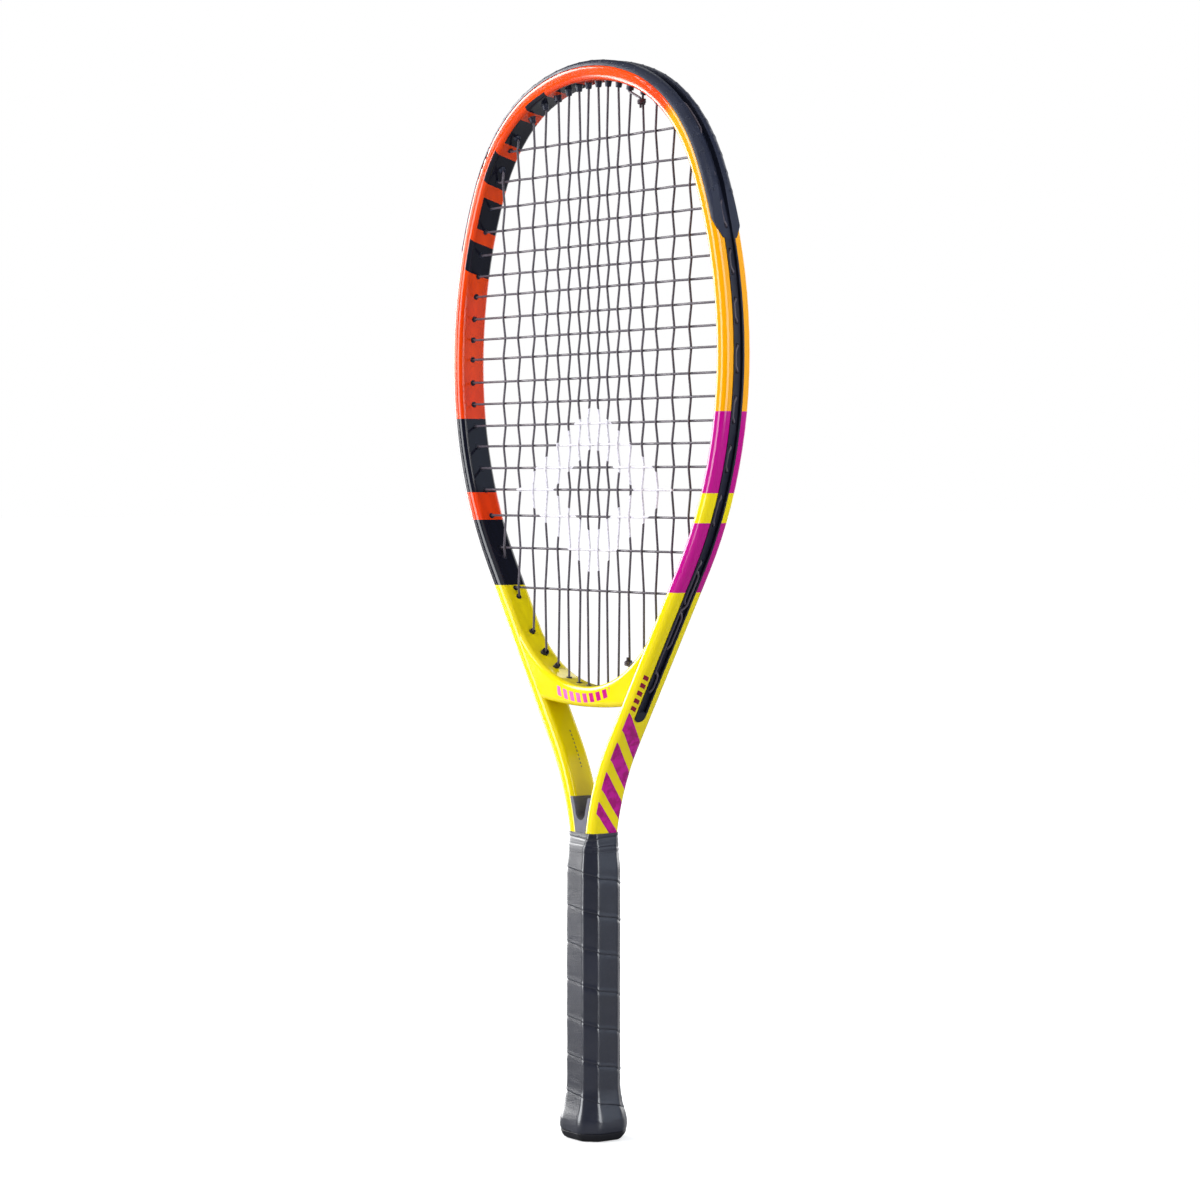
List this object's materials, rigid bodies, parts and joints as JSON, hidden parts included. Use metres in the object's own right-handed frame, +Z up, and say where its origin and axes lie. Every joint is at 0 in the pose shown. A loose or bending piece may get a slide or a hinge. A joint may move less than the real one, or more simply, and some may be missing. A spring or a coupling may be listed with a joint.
{
  "type": "tennis racket",
  "caption": "Junior aluminium tennis racket: bent tube hoop and arms, throat bridge, bumper guard, grommet strips, woven string bed and a tape-wrapped octagonal handle.",
  "frame": {"origin": "middle of the butt end, on the surface it stands on", "axes": "+Z runs up the racket from butt to tip, +X across the face to the player's right when looking along +Y, +Y through the face"},
  "size_m": [0.26, 0.0324, 0.5842],
  "materials": {
    "painted_tube": "gloss paint over aluminium, in bands of colour",
    "painted_bridge": "gloss paint over moulded nylon",
    "rivet_aluminium": "bare aluminium",
    "plug_rubber": "matt soft rubber",
    "guard_plastic": "satin moulded nylon",
    "strip_plastic": "satin moulded nylon",
    "string_nylon": "graphite-coloured nylon monofilament",
    "pallet_plastic": "moulded foam plastic",
    "cap_plastic": "satin moulded plastic",
    "staple_steel": "zinc-plated wire",
    "grip_synthetic": "cushioned synthetic leather tape with a soft sheen",
    "finishing_vinyl": "thin stretched vinyl tape"
  },
  "bodies": {
    "root": {"frame_tube": "painted_tube", "throat_bridge": "painted_bridge", "bridge_rivets": "rivet_aluminium", "throat_plug": "plug_rubber", "bumper_guard": "guard_plastic", "grommet_strip_left": "strip_plastic", "grommet_strip_right": "strip_plastic", "bridge_grommet_strip": "strip_plastic", "string_bed": "string_nylon", "string_knots": "string_nylon", "pallet_front": "pallet_plastic", "pallet_rear": "pallet_plastic", "butt_cap": "cap_plastic", "butt_plate": "cap_plastic", "cap_staples": "staple_steel", "grip_tape": "grip_synthetic", "finishing_tape": "finishing_vinyl"}
  },
  "joints": []
}
